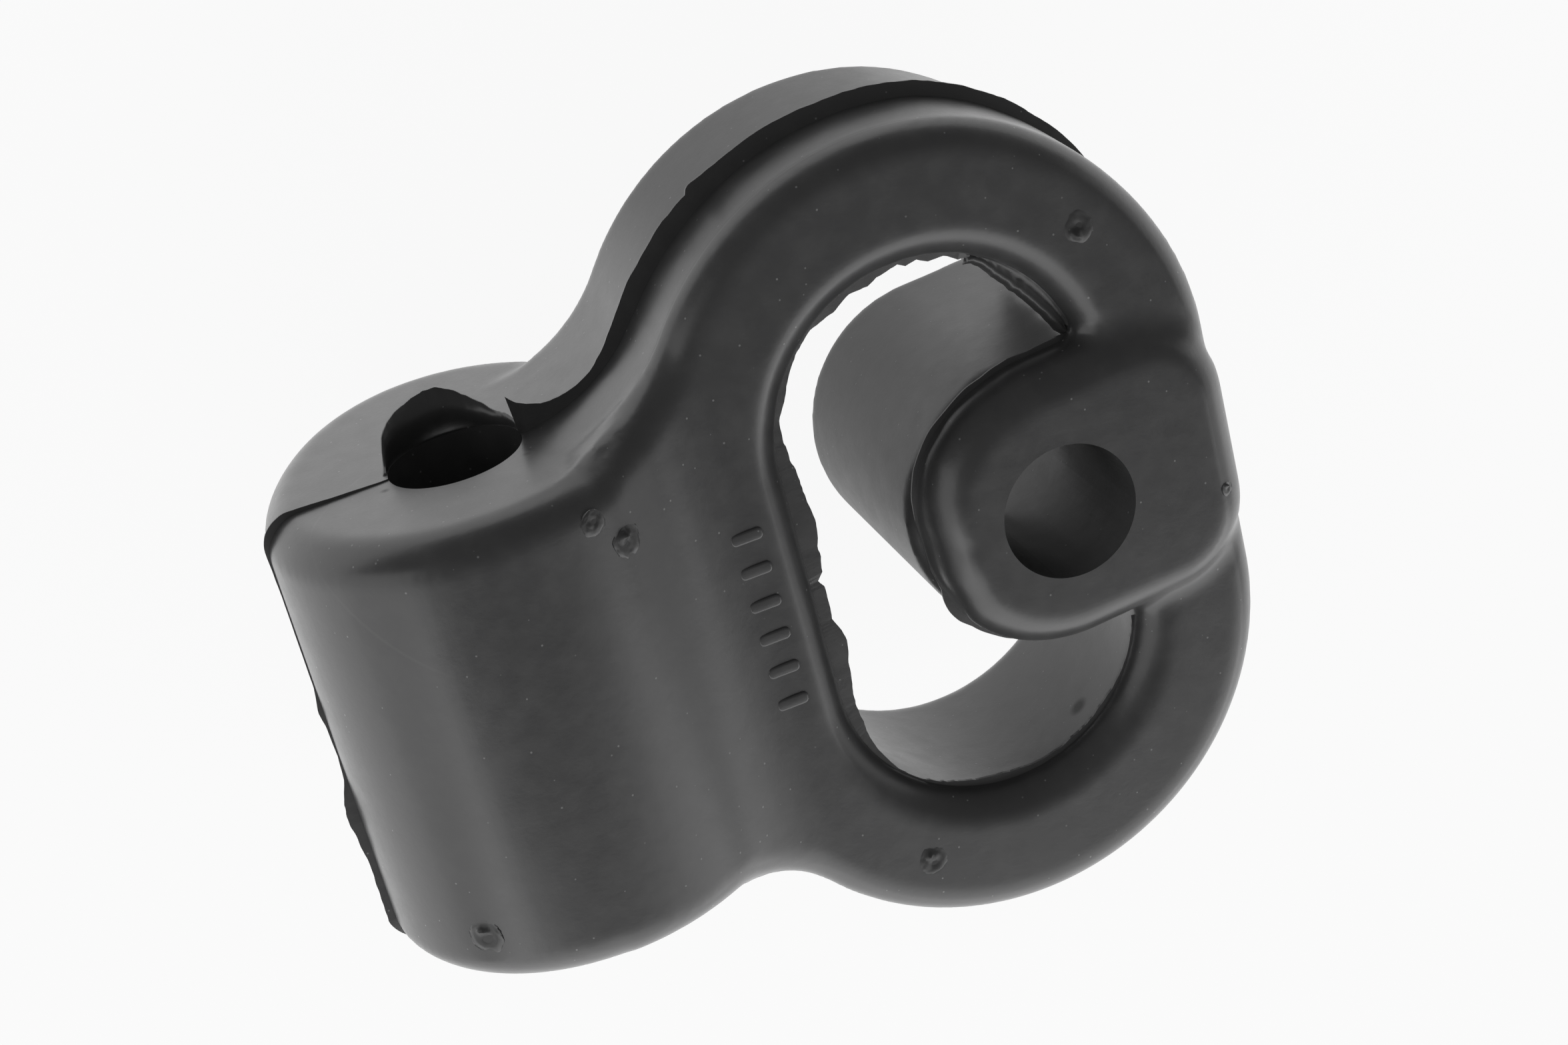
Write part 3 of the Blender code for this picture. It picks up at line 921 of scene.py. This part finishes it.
class BUFFER_OT_opening_web(bpy.types.Operator):
    """Builds the torn web of flash inside the opening"""
    bl_idname = "buffer.opening_web"
    bl_label = "Opening web"

    def execute(self, context):
        sizes = context.scene.buffer_sizes
        wall = spaced(opening_outline(0.0, WAIST_Z, WEB_WALL_STEPS), WEB_STEP)

        def nearest(point):
            return min(range(len(wall)), key=lambda i: math.dist(wall[i], point))

        wall = wall[nearest(WEB_EDGE[0]):]
        table = []
        for edge in WEB_EDGE:
            near = nearest(edge)
            if not table or near > table[-1][0]:
                table.append((near, math.dist(wall[near], edge)))
        path = with_normals(wall, -1.0)
        heights = []
        for i, ((x, y), direction) in enumerate(path[:table[-1][0]]):
            torn = tear("opening_web", x, y) * sizes.raggedness
            heights.append(max(WEB_LEAST, read_off(table, i) + torn))
        roots, tips = stood_out(path, heights, WEB_ROOT)
        dressed(flash_strip("opening_web", roots, tips, WAIST_Z, sizes.web_thickness / MM))
        return {"FINISHED"}


class BUFFER_OT_torn_lip(bpy.types.Operator):
    """Builds the lip at the opening's upper right, where the web sinks in and its edge turns up"""
    bl_idname = "buffer.torn_lip"
    bl_label = "Torn lip"

    def execute(self, context):
        sizes = context.scene.buffer_sizes
        first, last = LIP_REACH[0][0], LIP_REACH[-1][0]
        sections = []
        for i in range(LIP_STEPS + 1):
            turn = first + (last - first) * i / LIP_STEPS
            reach = read_off(LIP_REACH, turn)
            edge = OPENING_RADIUS - reach + tear("torn_lip", turn) * sizes.raggedness
            sink, wall = min(1.0, reach), OPENING_RADIUS
            # Radius and height: inside the wall, down into the trough, up over the edge and back
            section = ((wall + 0.9, -1.7), (wall + 0.9, 0.25), (wall - 0.05, 0.1),
                       (min(edge + 1.0, wall - 0.1), -0.7 * sink),
                       (edge + 0.62, -0.06 * sink), (edge + 0.28, -0.24 * sink),
                       (edge, -0.80 * sink), (edge + 0.06, -1.1 * sink),
                       (edge + 0.5, -1.45 * sink))
            sections.append([(*on_circle(OPENING_TOP, radius, math.radians(turn)), WAIST_Z + z)
                             for radius, z in section])
        dressed(loft("torn_lip", sections))
        return {"FINISHED"}


class BUFFER_OT_boss_flash(bpy.types.Operator):
    """Builds the low flash round the boss, on the inner parting plane"""
    bl_idname = "buffer.boss_flash"
    bl_label = "Boss flash"

    def execute(self, context):
        sizes = context.scene.buffer_sizes
        start = Vector(BOSS) + Matrix.Rotation(BOSS_LEAN, 2) @ Vector((0.0, BOSS_RADIUS))
        along = Vector((math.cos(BOSS_LEAN), math.sin(BOSS_LEAN)))
        line = [tuple(start + along * (BOSS_FLASH_START - LINE_STEP * i))
                for i in range(round(BOSS_FLASH_START / LINE_STEP))]
        for i in range(BOSS_FLASH_STEPS + 1):
            turn = BOSS_FRONT_RADII[0][0] + BOSS_FLASH_TURN * i / BOSS_FLASH_STEPS
            line.append(on_circle(BOSS, read_off(BOSS_FRONT_RADII, turn), math.radians(turn)))
        path = with_normals(line)
        low, high = BOSS_TONGUE_Y
        heights = []
        for (x, y), direction in path:
            height = BOSS_FLASH_HEIGHT + tear("boss_flash", x, y) * sizes.raggedness
            if low < y < high and x < BOSS_TONGUE_X:
                height += BOSS_TONGUE_HEIGHT * math.sin((y - low) / (high - low) * math.pi)
            heights.append(height)
        roots, tips = stood_out(path, heights, BOSS_FLASH_ROOT)
        dressed(flash_strip("boss_flash", roots, tips, WAIST_Z - BOSS_FLASH_DROP,
                            BOSS_FLASH_THICKNESS))
        return {"FINISHED"}


class BUFFER_OT_bore_flash(bpy.types.Operator):
    """Builds the thin flash that stands at the rear of the block bore's mouth"""
    bl_idname = "buffer.bore_flash"
    bl_label = "Bore flash"

    def execute(self, context):
        sizes = context.scene.buffer_sizes
        first, last = COLLAR_HEIGHTS[0][0], COLLAR_HEIGHTS[-1][0]
        sections = []
        for i in range(COLLAR_STEPS + 1):
            turn = first + (last - first) * i / COLLAR_STEPS
            height = read_off(COLLAR_HEIGHTS, turn)
            height += tear("bore_flash", turn) * sizes.raggedness * min(1.0, height)
            # Distance out of the bore's wall and height over the block's end, round the section
            section = ((0.02, -0.8), (0.55, -0.8), (0.34, 0.05 + height * 0.5),
                       (0.24, 0.05 + height), (0.12, 0.05 + height), (0.06, 0.05 + height * 0.5))
            ring = []
            for out, up in section:
                x, z = on_circle((BLOCK_X, PART_Z), sizes.block_bore / 2 / MM + out,
                                 math.radians(turn))
                ring.append((x, BLOCK_TOP + up, z))
            sections.append(ring)
        dressed(loft("bore_flash", sections))
        return {"FINISHED"}


class BUFFER_OT_gate_marks(bpy.types.Operator):
    """Builds the small craters and torn stubs where rubber entered the mould"""
    bl_idname = "buffer.gate_marks"
    bl_label = "Gate marks"

    def execute(self, context):
        body = bpy.data.objects["moulded_body"]
        for number, (point, radius, turn, stub) in enumerate(GATE_MARKS):
            place, normal = skin_place(body, point)
            bm = bmesh.new()
            bmesh.ops.create_icosphere(bm, subdivisions=4, radius=radius)
            seed = Vector((number * 7.0, number * 3.0, 0))
            for vert in bm.verts:
                across, along, up = vert.co / radius
                sway, fine = (noise.noise(vert.co * size + seed) for size in (1.1, 3.2))
                vert.co.x *= 1 + 0.22 * sway
                vert.co.y *= 1 - 0.18 * sway + 0.06 * fine
                vert.co.z = 0.3 * up * radius
                if up > 0:
                    # A low uneven lens with a round pit and the torn stub beside it
                    pit = 0.12 * math.exp(-(math.hypot(across + 0.1, along) / 0.40) ** 2)
                    lens = 0.13 * up ** 2 - 0.03 + up * (0.06 * sway + 0.04 * fine - pit)
                    torn = max(0.0, 1 - math.dist((across, along), (0.40, -0.1)) / 0.42)
                    vert.co.z = radius * lens + stub * torn * (1 + fine)
            on_skin(bm, place, normal, turn)
            dressed(finished(bm, "gate_mark_%d" % (number + 1)))
        return {"FINISHED"}


class BUFFER_OT_ribs(bpy.types.Operator):
    """Builds the row of plain low ribs on the ring's face, beside the opening"""
    bl_idname = "buffer.ribs"
    bl_label = "Plain ribs"

    def execute(self, context):
        sizes = context.scene.buffer_sizes
        high = sizes.rib_height / MM
        bm = bmesh.new()
        for i in range(RIB_COUNT):
            rib = bmesh.ops.create_cube(bm, size=1.0)["verts"]
            bmesh.ops.scale(bm, vec=(RIB_LENGTH, RIB_WIDTH, 2 * (high + RIB_SUNK)), verts=rib)
            bmesh.ops.translate(bm, verts=rib, vec=(
                RIB_X, RIB_TOP_Y - RIB_PITCH * i, RING_FRONT_Z - RIB_SUNK))
            ends = dict.fromkeys(e for v in rib for e in v.link_edges
                                 if abs(e.verts[0].co.z - e.verts[1].co.z) > 0.1)
            bmesh.ops.bevel(bm, geom=list(ends), offset=RIB_CORNER, offset_type="OFFSET",
                            segments=BEVEL_STEPS, profile=0.5, affect="EDGES", material=-1)
        tops = [e for e in bm.edges if all(v.co.z > RING_FRONT_Z for v in e.verts)]
        bmesh.ops.bevel(bm, geom=tops, offset=high * 0.97, offset_type="OFFSET",
                        segments=BEVEL_STEPS, profile=0.5, affect="EDGES", material=-1)
        dressed(finished(bm, "plain_ribs"))
        return {"FINISHED"}


class BUFFER_OT_studio(bpy.types.Operator):
    """Builds the floor, the lamps and the camera"""
    bl_idname = "buffer.studio"
    bl_label = "Studio"

    def execute(self, context):
        colours = context.scene.buffer_colours
        bm = bmesh.new()
        bmesh.ops.create_grid(bm, x_segments=1, y_segments=1, size=FLOOR_SIZE)
        bmesh.ops.translate(bm, vec=(0, 0, -FLOOR_DROP), verts=bm.verts)
        floor = finished(bm, "floor", smooth=False)
        floor.data.materials.append(floor_finish(colours))

        for name, (place, size, power) in LAMPS.items():
            data = bpy.data.lights.new(name, "AREA")
            data.shape = "RECTANGLE"
            data.size, data.size_y = size
            data.energy = power * colours.lamps
            lamp = new_object(name, data)
            lamp.location = place
            towards = Vector(LAMP_TARGET) - Vector(place)
            lamp.rotation_euler = towards.to_track_quat("-Z", "Y").to_euler()

        world = bpy.data.worlds.new("studio")
        world.use_nodes = True
        background = world.node_tree.nodes["Background"]
        background.inputs["Color"].default_value = grey(WORLD_LEVEL)
        context.scene.world = world

        data = bpy.data.cameras.new("camera")
        data.lens, data.sensor_width = CAMERA_LENS, CAMERA_SENSOR
        data.clip_start = 0.01
        camera = new_object("camera", data)
        forward, up = Vector(CAMERA_FORWARD).normalized(), Vector(CAMERA_UP).normalized()
        right = forward.cross(up).normalized()
        turn = Matrix((right, right.cross(forward), -forward)).transposed().to_4x4()
        camera.matrix_world = Matrix.Translation(CAMERA_PLACE) @ turn
        context.scene.camera = camera
        context.scene.view_settings.view_transform = "Standard"
        return {"FINISHED"}


STEPS = (BUFFER_OT_body, BUFFER_OT_outer_fin, BUFFER_OT_end_flash, BUFFER_OT_opening_web,
         BUFFER_OT_torn_lip, BUFFER_OT_boss_flash, BUFFER_OT_bore_flash, BUFFER_OT_gate_marks,
         BUFFER_OT_ribs, BUFFER_OT_studio)


class BUFFER_PT_panel(bpy.types.Panel):
    """Lists the sizes, the colours and the pieces"""
    bl_idname = "BUFFER_PT_panel"
    bl_label = "Rubber buffer"
    bl_space_type = "VIEW_3D"
    bl_region_type = "UI"
    bl_category = "Buffer"

    def draw(self, context):
        for group in (context.scene.buffer_sizes, context.scene.buffer_colours):
            column = self.layout.column(align=True)
            for name in group.__annotations__:
                column.prop(group, name)
        column = self.layout.column(align=True)
        for step in STEPS:
            column.operator(step.bl_idname)


CLASSES = (BufferSizes, BufferColours, *STEPS, BUFFER_PT_panel)


def register():
    for cls in CLASSES:
        bpy.utils.register_class(cls)
    bpy.types.Scene.buffer_sizes = bpy.props.PointerProperty(type=BufferSizes)
    bpy.types.Scene.buffer_colours = bpy.props.PointerProperty(type=BufferColours)


def unregister():
    del bpy.types.Scene.buffer_sizes
    del bpy.types.Scene.buffer_colours
    for cls in reversed(CLASSES):
        bpy.utils.unregister_class(cls)


def main():
    register()
    for step in STEPS:
        group, name = step.bl_idname.split(".")
        getattr(getattr(bpy.ops, group), name)()


if __name__ == "__main__":
    main()
